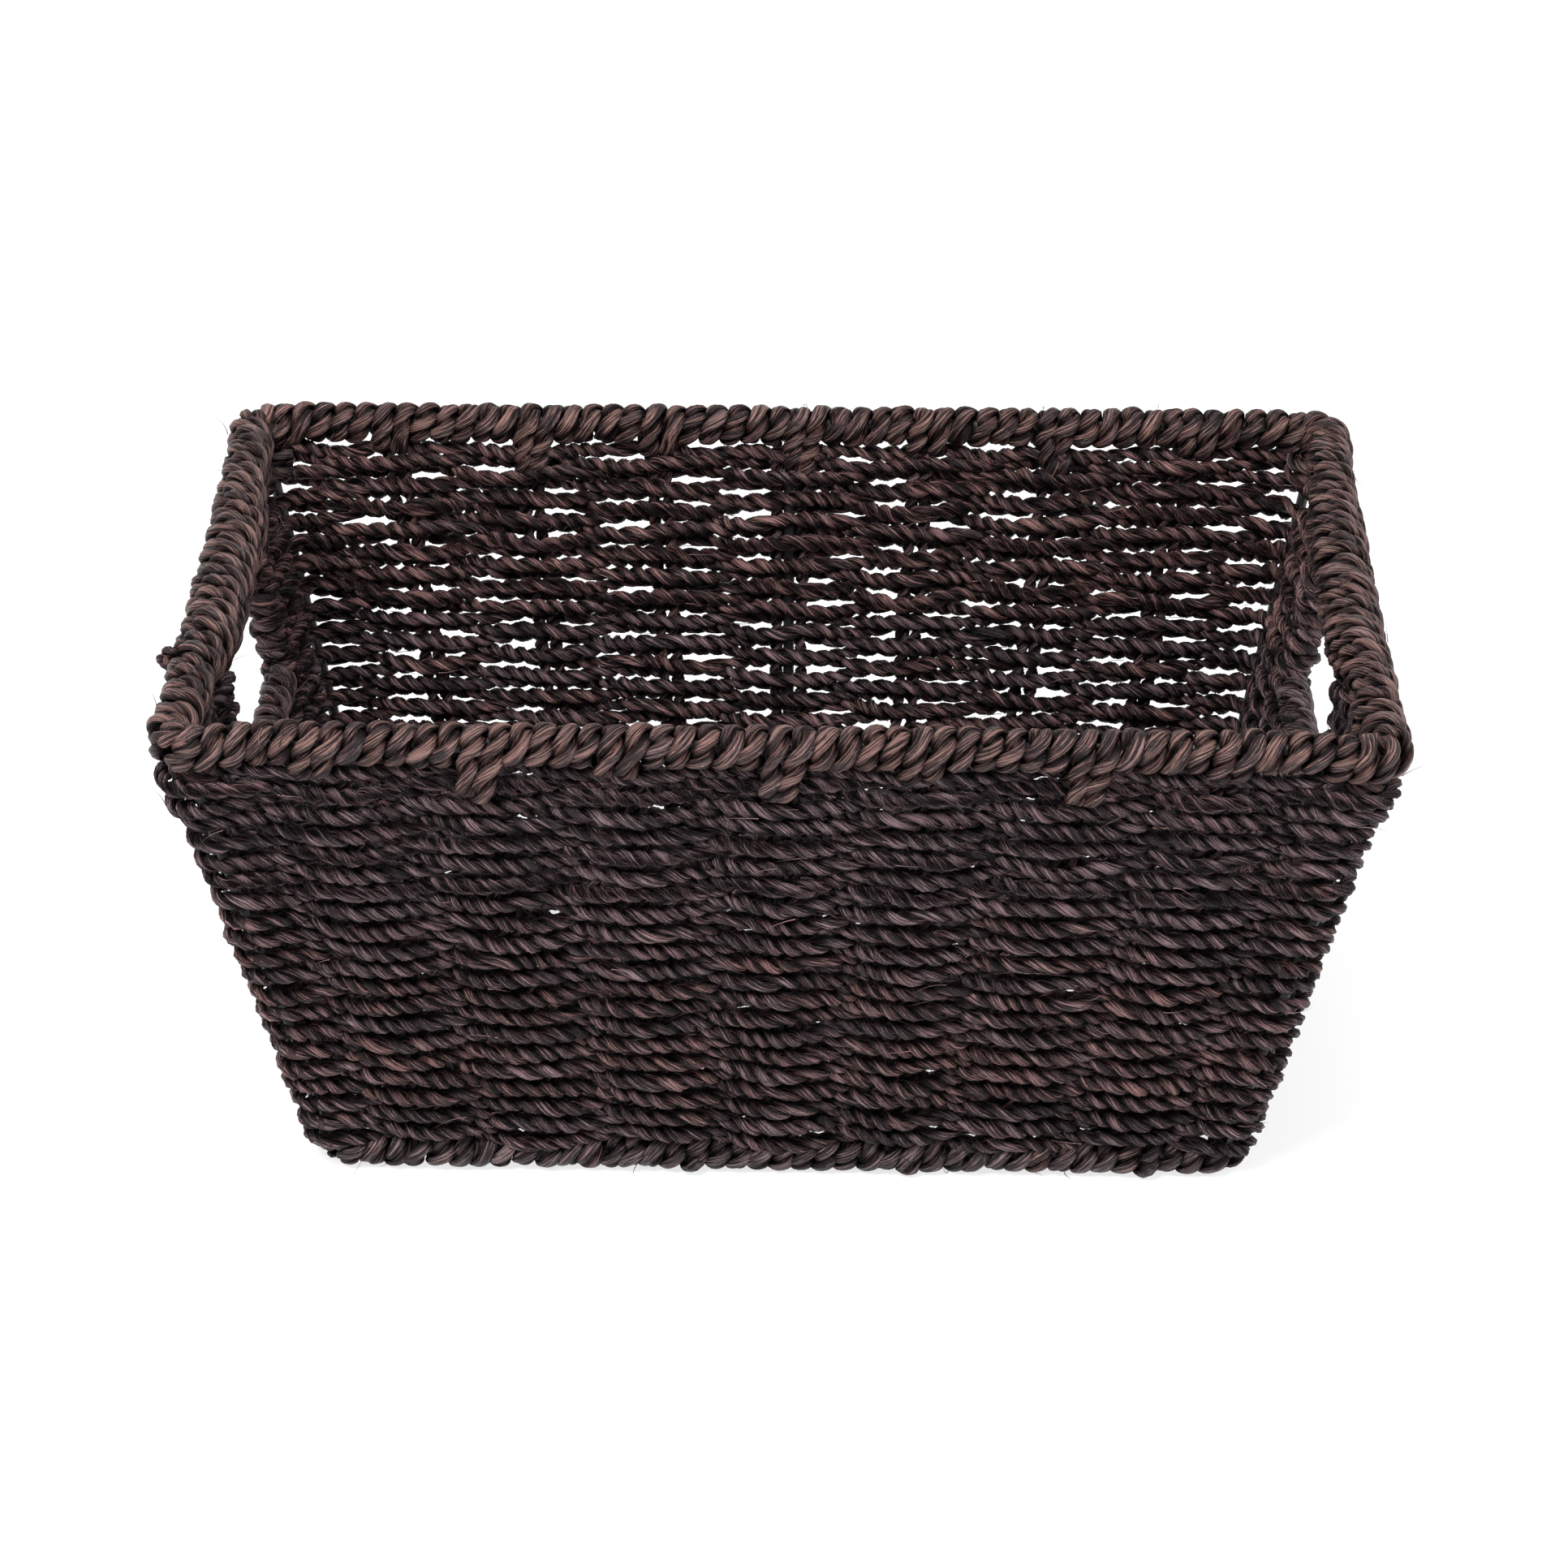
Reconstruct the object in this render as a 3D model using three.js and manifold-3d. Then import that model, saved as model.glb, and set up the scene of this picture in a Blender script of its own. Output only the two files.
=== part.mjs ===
// Open tapered shelf basket: twisted seagrass cord woven on a welded steel wire frame, with a hand
// hole in each end. Millimetres, +Z up, +X along the length, origin at the middle of the footprint.
import * as THREE from 'three';
import { ConvexGeometry } from 'three/addons/geometries/ConvexGeometry.js';
import { mergeVertices } from 'three/addons/utils/BufferGeometryUtils.js';
import Module from 'manifold-3d';

const wasm = await Module();
wasm.setup();

// ---- driving dimensions ----
const LENGTH = 400; // over the rim wrap of the two ends
const WIDTH = 255; // over the rim wrap of front and back
const HEIGHT = 190; // floor to the top of the rim wrap
const INSET_X = 38.6; // how far each end leans in from the rim to the base
const INSET_Y = 34.8; // how far front and back lean in
const GAP = 0.3; // between pieces that touch

const RIM_WRAP_THICK = 14.6; // wound rim
const GRIP_WIDE = 20; // thicker winding over a hand hole
const GRIP_TALL = 22;
const GRIP_TAPER = 22; // length over which it thins to the plain rim
const BASE_WRAP_THICK = 14; // wound base border
const BASE_ROD_Z = 6.5; // height of the base rod's centre

const ROD_RADIUS = 2.5; // rim rod, base rod and handle bars
const POST_RADIUS = 2; // upright wires and base cross rods
const RIM_CORNER_RADIUS = 12; // outer corner of the wound rim, in plan
const RIM_BEND_RADIUS = 7; // rod's bend at a rim corner
const BASE_BEND_RADIUS = 10;

const WALL = 16; // thickness of the weave, over both faces
const WEAVE_TOP_GAP = 8.5; // rim rod centre down to the first row
const CORD = 5.3; // stake cord diameter
const STAKES_PER_SIDE = 7;
const STAKES_ON_END = [-0.72, 0, 0.72]; // places across an end, as a share of its half width
const HANDLE_POST_SHARE = 0.45; // handle posts, as a share of the end's half width
const HANDLE_BAR_DROP = 64; // rim rod centre down to the handle bar's centre
const HANDLE_WRAP_RADIUS = 6.2;
const HANDLE_TURN = 8; // weave between a handle post and the hand hole
const BASE_CROSS_RODS_AT = 1.5; // stake intervals from the middle
const BASE_MAT_THICK = 11;

const ROUND = 16; // sides of a wound section
const THIN_ROUND = 10; // sides of a wire
const BEND_STEPS = 4; // flats in a quarter bend
const EDGE_STEPS = 2; // flats in a quarter of a ring's section
const RING_FLAT = 0.1; // half of the small flat between a ring's rounded edges, as a share of its radius

// ---- values that follow ----
const RIM_Z = HEIGHT - RIM_WRAP_THICK / 2;
const RIM_HALF_X = (LENGTH - RIM_WRAP_THICK) / 2;
const RIM_HALF_Y = (WIDTH - RIM_WRAP_THICK) / 2;
const WEAVE_BOTTOM_Z = BASE_ROD_Z + BASE_WRAP_THICK / 2 + GAP;
const WEAVE_TOP_Z = RIM_Z - WEAVE_TOP_GAP;
const HANDLE_BAR_Z = RIM_Z - HANDLE_BAR_DROP;
const FAR = 1000; // beyond every piece
const SPREAD = 2 / (STAKES_PER_SIDE + 1); // stake interval, as a share of a wall's half length

const seagrass = (color) => new THREE.MeshStandardMaterial({ color, roughness: 0.75, metalness: 0 });
const materials = {
  steel: new THREE.MeshStandardMaterial({ color: 0x2a2627, roughness: 0.45, metalness: 0.8 }),
  stake: seagrass(0x2e2526),
  weave: seagrass(0x302628),
  rim: seagrass(0x473a3a),
};

const basket = new THREE.Group();

// ---- where the walls' middle surfaces are ----
const depthShare = (z) => (RIM_Z - z) / (RIM_Z - BASE_ROD_Z);
const halfX = (z) => RIM_HALF_X - INSET_X * depthShare(z);
const halfY = (z) => RIM_HALF_Y - INSET_Y * depthShare(z);

// a place on a wall: share runs from -1 to 1 across it, side is -1 or 1
const onLongWall = (share, side, z) => new THREE.Vector3(share * halfX(z), side * halfY(z), z);
const onEndWall = (share, side, z) => new THREE.Vector3(side * halfX(z), share * halfY(z), z);

// ---- booleans ----
function toSolid(geometry) {
  const bare = geometry.clone();
  bare.deleteAttribute('normal');
  bare.deleteAttribute('uv');
  const merged = mergeVertices(bare, 1e-4);
  const vertProperties = new Float32Array(merged.attributes.position.array);
  const triVerts = new Uint32Array(merged.index.array);
  return new wasm.Manifold(new wasm.Mesh({ numProp: 3, vertProperties, triVerts }));
}

function toGeometry(solid) {
  const { vertProperties, triVerts } = solid.getMesh();
  const geometry = new THREE.BufferGeometry();
  geometry.setAttribute('position', new THREE.BufferAttribute(new Float32Array(vertProperties), 3));
  geometry.setIndex(new THREE.BufferAttribute(new Uint32Array(triVerts), 1));
  geometry.computeVertexNormals();
  return geometry;
}

function cut(solid, cutters) {
  return cutters.reduce((left, cutter) => left.subtract(cutter), solid);
}

function place(name, geometry, material) {
  const mesh = new THREE.Mesh(geometry, material.clone());
  mesh.name = name;
  basket.add(mesh);
  return mesh;
}

// ---- simple solids ----
function box(x0, x1, y0, y1, z0, z1) {
  const geometry = new THREE.BoxGeometry(x1 - x0, y1 - y0, z1 - z0);
  geometry.translate((x0 + x1) / 2, (y0 + y1) / 2, (z0 + z1) / 2);
  return toSolid(geometry);
}

// four-sided block between two heights that leans as the walls do, grown sideways by growX and growY
function leaningBlock(z0, z1, growX, growY) {
  const corners = [];
  for (const z of [z0, z1]) {
    for (const sx of [-1, 1]) {
      for (const sy of [-1, 1]) {
        corners.push(new THREE.Vector3(sx * (halfX(z) + growX), sy * (halfY(z) + growY), z));
      }
    }
  }
  return toSolid(new ConvexGeometry(corners));
}

function roundSection(radiusX, radiusY) {
  const curve = new THREE.EllipseCurve(0, 0, radiusX, radiusY, 0, 2 * Math.PI);
  return new THREE.Shape(curve.getPoints(ROUND));
}

function flatBottomSection(radius, drop) {
  const edge = Math.asin(drop / radius);
  const curve = new THREE.EllipseCurve(0, 0, radius, radius, -edge, Math.PI + edge);
  return new THREE.Shape(curve.getPoints(ROUND));
}

// two cords side by side, or two cords with a wire between them
function twinSection(spare) {
  const shape = new THREE.Shape();
  const radius = CORD / 2;
  const centre = radius + spare;
  shape.absarc(centre, 0, radius, -Math.PI / 2, Math.PI / 2);
  shape.absarc(-centre, 0, radius, Math.PI / 2, (3 * Math.PI) / 2);
  return shape;
}

// straight bar of any section from a to b; the section's x runs along the given level direction
function bar(shape, a, b, level) {
  const depth = a.distanceTo(b);
  const curveSegments = THIN_ROUND / 2;
  const geometry = new THREE.ExtrudeGeometry(shape, { depth, bevelEnabled: false, curveSegments });
  const along = b.clone().sub(a).normalize();
  const up = along.clone().cross(level).normalize();
  const across = up.clone().cross(along);
  const turn = new THREE.Matrix4().makeBasis(across, up, along);
  return { geometry, position: a, rotation: new THREE.Euler().setFromRotationMatrix(turn) };
}

function barSolid({ geometry, position, rotation }) {
  const matrix = new THREE.Matrix4().makeRotationFromEuler(rotation).setPosition(position);
  return toSolid(geometry.clone().applyMatrix4(matrix));
}

function placeBar(name, { geometry, position, rotation }, material) {
  const mesh = place(name, geometry, material);
  mesh.position.copy(position);
  mesh.rotation.copy(rotation);
}

// straight wire between two points, shortened by trim at each end
function wire(a, b, radius, trim) {
  const along = b.clone().sub(a).normalize();
  const start = a.clone().addScaledVector(along, trim);
  const end = b.clone().addScaledVector(along, -trim);
  const curve = new THREE.EllipseCurve(0, 0, radius, radius, 0, 2 * Math.PI);
  const shape = new THREE.Shape(curve.getPoints(THIN_ROUND));
  const isUpright = Math.abs(along.z) > Math.SQRT1_2;
  const level = isUpright ? new THREE.Vector3(1, 0, 0) : new THREE.Vector3(0, 0, 1);
  return bar(shape, start, end, level);
}

function roundedRectangle(PathType, x, y, radius) {
  const path = new PathType();
  path.moveTo(-x + radius, -y);
  path.lineTo(x - radius, -y);
  path.absarc(x - radius, -y + radius, radius, -Math.PI / 2, 0);
  path.lineTo(x, y - radius);
  path.absarc(x - radius, y - radius, radius, 0, Math.PI / 2);
  path.lineTo(-x + radius, y);
  path.absarc(-x + radius, y - radius, radius, Math.PI / 2, Math.PI);
  path.lineTo(-x, -y + radius);
  path.absarc(-x + radius, -y + radius, radius, Math.PI, 1.5 * Math.PI);
  return path;
}

// closed ring of wire, centred on a rounded rectangle at one height
function ring(x, y, z, bend, radius) {
  const core = radius * RING_FLAT;
  const shape = roundedRectangle(THREE.Shape, x + core, y + core, bend + core);
  shape.holes.push(roundedRectangle(THREE.Path, x - core, y - core, bend - core));
  const round = radius - core;
  const geometry = new THREE.ExtrudeGeometry(shape, { depth: 2 * core, curveSegments: BEND_STEPS,
    bevelThickness: round, bevelSize: round, bevelSegments: EDGE_STEPS });
  geometry.translate(0, 0, z - core);
  return geometry;
}

// ---- steel wire frame ----
const rimRing = (grow) => ring(RIM_HALF_X, RIM_HALF_Y, RIM_Z, RIM_BEND_RADIUS, ROD_RADIUS + grow);
const baseRing = (grow) => ring(halfX(BASE_ROD_Z), halfY(BASE_ROD_Z), BASE_ROD_Z, BASE_BEND_RADIUS,
  ROD_RADIUS + grow);

// a corner post stands inside the bend of both rods
function cornerPoint(sx, sy, z, bend) {
  const inward = bend * (1 - Math.SQRT1_2);
  return new THREE.Vector3(sx * (halfX(z) - inward), sy * (halfY(z) - inward), z);
}

const sideNames = { '-1': ['front', 'left'], '1': ['back', 'right'] };
const longName = (side) => sideNames[side][0];
const endName = (side) => sideNames[side][1];

// every upright wire: its name and the places of its two ends
function uprightLines() {
  const lines = [];
  for (const side of [-1, 1]) {
    for (const end of [-1, 1]) {
      lines.push({
        name: `corner_post_${longName(side)}_${endName(end)}`,
        top: cornerPoint(end, side, RIM_Z, RIM_BEND_RADIUS),
        bottom: cornerPoint(end, side, BASE_ROD_Z, BASE_BEND_RADIUS),
      });
      lines.push({
        name: `handle_post_${endName(end)}_${longName(side)}`,
        top: onEndWall(side * HANDLE_POST_SHARE, end, RIM_Z),
        bottom: onEndWall(side * HANDLE_POST_SHARE, end, BASE_ROD_Z),
      });
    }
    lines.push({
      name: `centre_post_${longName(side)}`,
      top: onLongWall(0, side, RIM_Z),
      bottom: onLongWall(0, side, BASE_ROD_Z),
    });
  }
  return lines;
}

const rodTrim = ROD_RADIUS + 2 * GAP;
const uprights = uprightLines();
const uprightCutters = uprights.map(({ top, bottom }) =>
  barSolid(wire(bottom, top, POST_RADIUS + GAP, 0)));

function handleBarEnds(end, inset) {
  const reach = HANDLE_POST_SHARE * halfY(HANDLE_BAR_Z) - inset;
  const x = end * halfX(HANDLE_BAR_Z);
  return [new THREE.Vector3(x, -reach, HANDLE_BAR_Z), new THREE.Vector3(x, reach, HANDLE_BAR_Z)];
}

function buildFrame() {
  place('rim_rod', rimRing(0), materials.steel);
  place('base_rod', baseRing(0), materials.steel);
  for (const { name, top, bottom } of uprights) {
    placeBar(name, wire(bottom, top, POST_RADIUS, rodTrim), materials.steel);
  }
  for (const end of [-1, 1]) {
    const [a, b] = handleBarEnds(end, 0);
    const handleBar = wire(a, b, ROD_RADIUS, POST_RADIUS + 2 * GAP);
    placeBar(`handle_bar_${endName(end)}`, handleBar, materials.steel);
  }
}

const handleBarCutters = [-1, 1].map((end) =>
  barSolid(wire(...handleBarEnds(end, 0), ROD_RADIUS + GAP, 0)));

// ---- stakes: pairs of cord from the base wrap to the rim wrap ----
function stakeLines() {
  const lines = [];
  const underRim = RIM_Z - RIM_WRAP_THICK / 2 - 2 * GAP;
  const underHandle = HANDLE_BAR_Z - HANDLE_WRAP_RADIUS - 2 * GAP;
  for (const side of [-1, 1]) {
    for (let i = 1; i <= STAKES_PER_SIDE; i += 1) {
      const share = -1 + i * SPREAD;
      lines.push({
        name: `stake_${longName(side)}_${i}`,
        at: (z) => onLongWall(share, side, z),
        top: underRim,
        level: new THREE.Vector3(1, 0, 0),
        spare: share === 0 ? POST_RADIUS + GAP : 0,
      });
    }
    STAKES_ON_END.forEach((share, i) => {
      lines.push({
        name: `stake_${endName(side)}_${i + 1}`,
        at: (z) => onEndWall(share, side, z),
        top: share === 0 ? underHandle : underRim,
        level: new THREE.Vector3(0, 1, 0),
        spare: 0,
      });
    });
  }
  return lines;
}

const stakeBottomZ = BASE_ROD_Z + BASE_WRAP_THICK / 2 + 2 * GAP;

function grownTwin(spare) {
  const width = 2 * (CORD + spare + GAP);
  const height = CORD + 2 * GAP;
  const shape = new THREE.Shape();
  shape.moveTo(-width / 2, -height / 2);
  shape.lineTo(width / 2, -height / 2);
  shape.lineTo(width / 2, height / 2);
  shape.lineTo(-width / 2, height / 2);
  return shape;
}

const stakes = stakeLines();
const stakeCutters = stakes.map(({ at, top, level, spare }) =>
  barSolid(bar(grownTwin(spare), at(BASE_ROD_Z), at(top + 2 * GAP), level)));

function buildStakes() {
  for (const { name, at, top, level, spare } of stakes) {
    const stake = bar(twinSection(spare), at(stakeBottomZ), at(top), level);
    if (spare > 0) {
      place(name, toGeometry(cut(barSolid(stake), uprightCutters)), materials.stake);
    } else {
      placeBar(name, stake, materials.stake);
    }
  }
}

// ---- woven walls: front and back cover the corner posts, the ends fit between them ----
function wallShare(end) {
  return end < 0 ? [-FAR, 0] : [0, FAR];
}

function buildLongWall(side) {
  const outer = leaningBlock(WEAVE_BOTTOM_Z, WEAVE_TOP_Z, WALL / 2, WALL / 2);
  const inner = leaningBlock(0, HEIGHT, FAR, -WALL / 2);
  const half = box(-FAR, FAR, ...wallShare(side), -FAR, FAR);
  const wall = outer.subtract(inner).intersect(half);
  const woven = cut(wall, [...uprightCutters, ...stakeCutters]);
  place(`weave_${longName(side)}`, toGeometry(woven), materials.weave);
}

function buildEndWall(end) {
  const outer = leaningBlock(WEAVE_BOTTOM_Z, WEAVE_TOP_Z, WALL / 2, -WALL / 2 - GAP);
  const inner = leaningBlock(0, HEIGHT, -WALL / 2, FAR);
  const half = box(...wallShare(end), -FAR, FAR, -FAR, FAR);
  const reach = handleHoleReach();
  const hole = box(-FAR, FAR, -reach, reach, HANDLE_BAR_Z - HANDLE_WRAP_RADIUS - GAP, HEIGHT);
  const wall = outer.subtract(inner).intersect(half);
  const woven = cut(wall, [hole, ...handleBarCutters, ...uprightCutters, ...stakeCutters]);
  place(`weave_${endName(end)}`, toGeometry(woven), materials.weave);
}

function handleHoleReach() {
  return HANDLE_POST_SHARE * halfY(HANDLE_BAR_Z) - HANDLE_TURN;
}

// ---- woven base with its own stakes and two cross rods ----
const baseHalfX = halfX(BASE_ROD_Z) - BASE_WRAP_THICK / 2 - GAP;
const baseHalfY = halfY(BASE_ROD_Z) - BASE_WRAP_THICK / 2 - GAP;

function buildBase() {
  const cutters = [];
  const interval = SPREAD * halfX(BASE_ROD_Z);
  const level = new THREE.Vector3(1, 0, 0);
  const line = (x, reach) => [-reach, reach].map((y) => new THREE.Vector3(x, y, BASE_ROD_Z));
  for (let i = 1; i <= STAKES_PER_SIDE; i += 1) {
    const x = (i - (STAKES_PER_SIDE + 1) / 2) * interval;
    placeBar(`base_stake_${i}`, bar(twinSection(0), ...line(x, baseHalfY - GAP), level), materials.stake);
    cutters.push(barSolid(bar(grownTwin(0), ...line(x, baseHalfY + GAP), level)));
  }
  for (const side of [-1, 1]) {
    const ends = line(side * BASE_CROSS_RODS_AT * interval, halfY(BASE_ROD_Z));
    placeBar(`base_cross_rod_${endName(side)}`, wire(...ends, POST_RADIUS, rodTrim), materials.steel);
    cutters.push(barSolid(wire(...ends, POST_RADIUS + GAP, 0)));
  }
  const bottom = BASE_ROD_Z - BASE_MAT_THICK / 2;
  const mat = box(-baseHalfX, baseHalfX, -baseHalfY, baseHalfY, bottom, bottom + BASE_MAT_THICK);
  place('base_mat', toGeometry(cut(mat, cutters)), materials.weave);
  return cutters;
}

// ---- wound cord: four mitred sides round the rim rod and four round the base rod ----
// plan of one side, between the 45 degree mitres at its corners
function mitrePlan(x, y, side, isLong) {
  const back = GAP / Math.SQRT2;
  const outX = x + WALL;
  const outY = y + WALL;
  const longPlan = [[-(x - y) + back, 0], [x - y - back, 0], [outX - back, outY], [-outX + back, outY]];
  const endPlan = [[x - y + back, 0], [outX, -outY + back], [outX, outY - back]];
  const corners = isLong
    ? longPlan.map(([px, py]) => new THREE.Vector2(px, side * py))
    : endPlan.map(([px, py]) => new THREE.Vector2(side * px, py));
  return new THREE.Shape(corners);
}

function uprightPrism(shape) {
  const options = { depth: HEIGHT, bevelEnabled: false, curveSegments: BEND_STEPS };
  return toSolid(new THREE.ExtrudeGeometry(shape, options));
}

// the four sides of one winding; extras are joined to the left and the right side
function buildWraps(kind, x, y, z, section, outline, cutters, extras) {
  const block = uprightPrism(outline);
  for (const side of [-1, 1]) {
    const longBar = bar(section, new THREE.Vector3(-x - WALL, side * y, z),
      new THREE.Vector3(x + WALL, side * y, z), new THREE.Vector3(0, 1, 0));
    const endBar = bar(section, new THREE.Vector3(side * x, -y - WALL, z),
      new THREE.Vector3(side * x, y + WALL, z), new THREE.Vector3(-1, 0, 0));
    const longMitre = uprightPrism(mitrePlan(x, y, side, true));
    const endMitre = uprightPrism(mitrePlan(x, y, side, false));
    const longWrap = barSolid(longBar).intersect(block).intersect(longMitre);
    const plainEndWrap = barSolid(endBar).intersect(block).intersect(endMitre);
    const endWrap = extras(side).reduce((whole, extra) => whole.add(extra), plainEndWrap);
    place(`${kind}_wrap_${longName(side)}`, toGeometry(cut(longWrap, cutters)), materials.rim);
    place(`${kind}_wrap_${endName(side)}`, toGeometry(cut(endWrap, cutters)), materials.rim);
  }
}

function buildHandleWraps() {
  for (const end of [-1, 1]) {
    const ends = handleBarEnds(end, HANDLE_TURN + GAP);
    const wrap = barSolid(bar(roundSection(HANDLE_WRAP_RADIUS, HANDLE_WRAP_RADIUS), ...ends,
      new THREE.Vector3(1, 0, 0)));
    place(`handle_wrap_${endName(end)}`, toGeometry(cut(wrap, handleBarCutters)), materials.rim);
  }
}

// thicker winding over a hand hole, flush with the plain rim's top and outer side
function grip(end) {
  const reach = handleHoleReach() - GAP;
  const points = [];
  for (const y of [-reach, -reach + GRIP_TAPER, reach - GRIP_TAPER, reach]) {
    const isThick = Math.abs(y) < reach;
    const wide = isThick ? GRIP_WIDE : RIM_WRAP_THICK;
    const tall = isThick ? GRIP_TALL : RIM_WRAP_THICK;
    for (let i = 0; i < ROUND; i += 1) {
      const angle = (2 * Math.PI * i) / ROUND;
      const inward = (wide - RIM_WRAP_THICK + wide * Math.cos(angle)) / 2;
      const up = (RIM_WRAP_THICK - tall + tall * Math.sin(angle)) / 2;
      points.push(new THREE.Vector3(end * (RIM_HALF_X - inward), y, RIM_Z + up));
    }
  }
  return toSolid(new ConvexGeometry(points));
}

function buildRimWraps() {
  const section = roundSection(RIM_WRAP_THICK / 2, RIM_WRAP_THICK / 2);
  const outline = roundedRectangle(THREE.Shape, LENGTH / 2, WIDTH / 2, RIM_CORNER_RADIUS);
  const cutters = [toSolid(rimRing(GAP)), ...uprightCutters];
  buildWraps('rim', RIM_HALF_X, RIM_HALF_Y, RIM_Z, section, outline, cutters, (end) => [grip(end)]);
}

function buildBaseWraps(matCutters) {
  const x = halfX(BASE_ROD_Z);
  const y = halfY(BASE_ROD_Z);
  const radius = BASE_WRAP_THICK / 2;
  const section = flatBottomSection(radius, BASE_ROD_Z);
  const outline = roundedRectangle(THREE.Shape, x + radius, y + radius, BASE_BEND_RADIUS);
  const cutters = [toSolid(baseRing(GAP)), ...uprightCutters, ...matCutters];
  buildWraps('base', x, y, BASE_ROD_Z, section, outline, cutters, () => []);
}

buildFrame();
buildStakes();
for (const side of [-1, 1]) {
  buildLongWall(side);
  buildEndWall(side);
}
const matCutters = buildBase();
buildRimWraps();
buildBaseWraps(matCutters);
buildHandleWraps();

export default basket;
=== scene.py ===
"""Looks of the seagrass shelf basket: two-ply twisted cords woven and wound over the fixed steel frame."""
import math

import bpy
import numpy as np
from mathutils import Matrix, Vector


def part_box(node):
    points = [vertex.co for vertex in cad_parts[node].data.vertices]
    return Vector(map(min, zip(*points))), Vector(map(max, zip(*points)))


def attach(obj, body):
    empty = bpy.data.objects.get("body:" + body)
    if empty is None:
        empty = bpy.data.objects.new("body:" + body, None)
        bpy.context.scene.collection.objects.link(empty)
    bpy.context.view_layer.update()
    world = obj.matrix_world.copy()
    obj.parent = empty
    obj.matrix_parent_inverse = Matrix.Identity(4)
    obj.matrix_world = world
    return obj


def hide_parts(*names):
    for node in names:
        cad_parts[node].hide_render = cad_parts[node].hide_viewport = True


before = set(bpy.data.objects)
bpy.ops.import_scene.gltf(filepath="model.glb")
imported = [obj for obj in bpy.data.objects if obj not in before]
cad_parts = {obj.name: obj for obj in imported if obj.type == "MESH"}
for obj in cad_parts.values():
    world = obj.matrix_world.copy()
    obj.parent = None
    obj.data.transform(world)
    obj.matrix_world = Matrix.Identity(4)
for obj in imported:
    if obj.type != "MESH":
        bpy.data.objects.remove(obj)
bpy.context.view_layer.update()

MM = 0.001
UP = np.array([0.0, 0.0, 1.0])
TURN = 2 * math.pi

# ---- the woven rows, in millimetres ----
WEFT_RADIUS = 3.2
WEFT_LAY = 13.5  # length of one whole twist
WEFT_STEP = 1.2  # between the rings of the mesh
WEFT_SIDES = 12
WEFT_TONE = 0.42
FIRST_ROW = 9.8  # rim rod's centre down to the first row
ROW_PITCH = 4.09
ROWS = 40
ROWS_BESIDE_HOLE = 15
ROWS_PER_PIECE = 5
ROW_SWING = 4.25  # from the middle of the wall, over or under an upright
TOP_ROWS, TOP_ROW_SWING = 2, 0.6  # rows held close by the rim, and their share of the swing
CORNER_BEND_INSIDE, CORNER_BEND_OUTSIDE = 10.0, 4.0
CORNER_SWELL = {0: 3.0, 1: 5.0, 2: 1.0, 3: 2.0}  # how far each top row stands out at the corners
PRESSED_BETWEEN, PRESSED_GAIN = 0.79, 0.21  # height of a row between the uprights, and what it gains over one
ROW_UP_WANDER, ROW_OUT_WANDER = (52, 0.6), (35, 0.4)  # wavelength and amount

# ---- rows that turn round the handle posts ----
HOLE_ROUNDING, HOLE_SWELL = 8.0, 3.5  # how far they close in on the top of a hand hole, and into the basket
HOLE_ROUNDING_FROM, HOLE_ROUNDING_TO = 14, 30  # below the rim rod
TURN_OUTSIDE_HOLE = 3.0
TURN_BULGE, TURN_BULGE_SPREAD = 1.05, (-0.1, 0.2)
TURN_PRESSED = 1.3
TURN_POINTS = 13

# ---- wound cord ----
WRAP_RADIUS = 3.5
WRAP_LAY = 16.5
WRAP_STEP = 0.9
WRAP_SIDES = 16
WRAP_FLAT = 0.72
WRAP_WIDE = 1.16
WRAP_TONE, BORDER_TONE = 0.6, 0.55
LOOP_LEAN = 1.1  # how far a loop leans along the line
LOOP_JITTER = 0.45
WINDING_SAMPLES = 6000
HELIX_STEP = math.radians(5)

# ---- stake cords ----
STAKE_LAY = 11.0
STAKE_STEP = 1.2
STAKE_SIDES = 8
STAKE_TONE = 0.40
STAKE_FLAT = 0.75
STAKE_END_GAP, STAKE_FOOT_GAP = 4, 2  # short of the rim rod or handle bar, and above the base rod
SIDE_BY_SIDE = 0.95  # half the distance of two stake cords, as a share of their radius

# ---- loose fibres ----
WEFT_FIBRE_EVERY, WRAP_FIBRE_EVERY = 45.0, 60.0
FIBRE_RINGS = 7
FIBRE_REACH, FIBRE_LIFT = (5, 14), (0.3, 2.6)
FIBRE_BEND, FIBRE_WAVE = 1.6, 0.5
FIBRE_THICK = (0.12, 0.24)
FLOOR_GAP = 0.4  # lowest height of a fibre's middle

# ---- how a cord is twisted, and how uneven it is ----
# a ply's middle and half sizes, as shares of the cord's radius
PLY_OFFSET, PLY_RADIAL, PLY_ACROSS = 0.45, 0.51, 0.64
RIDGE = 0.07  # depth of the ribs along a ply, as a share of its size
END_TAPER = (0.08, 0.72, 0.95)  # sizes of the first rings of an open cord
LAY_SPREAD, PLY_SIZE_SPREAD = 0.05, 0.03
TONE_SPREAD, PLY_TONE_SPREAD, WARM_SPREAD = 0.06, 0.05, 0.15
TWIST_WANDER, SIZE_WANDER, PLY_SIZE_WANDER = (45, 0.7), (38, 0.045), (17, 0.055)
TONE_WANDER, PLY_TONE_WANDER, WARM_WANDER = (70, 0.07), (25, 0.05), (90, 0.2)
GRAIN_RADIUS = 1.7
GRAIN_TWIST = 0.10  # radians to a millimetre
GRAIN_FAR = 500  # shifts the grain of each ply and fibre to a place of its own


def box_mm(node):
    lo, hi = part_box(node)
    return np.array(lo) / MM, np.array(hi) / MM


def middle(node):
    lo, hi = box_mm(node)
    return (lo + hi) / 2


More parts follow.
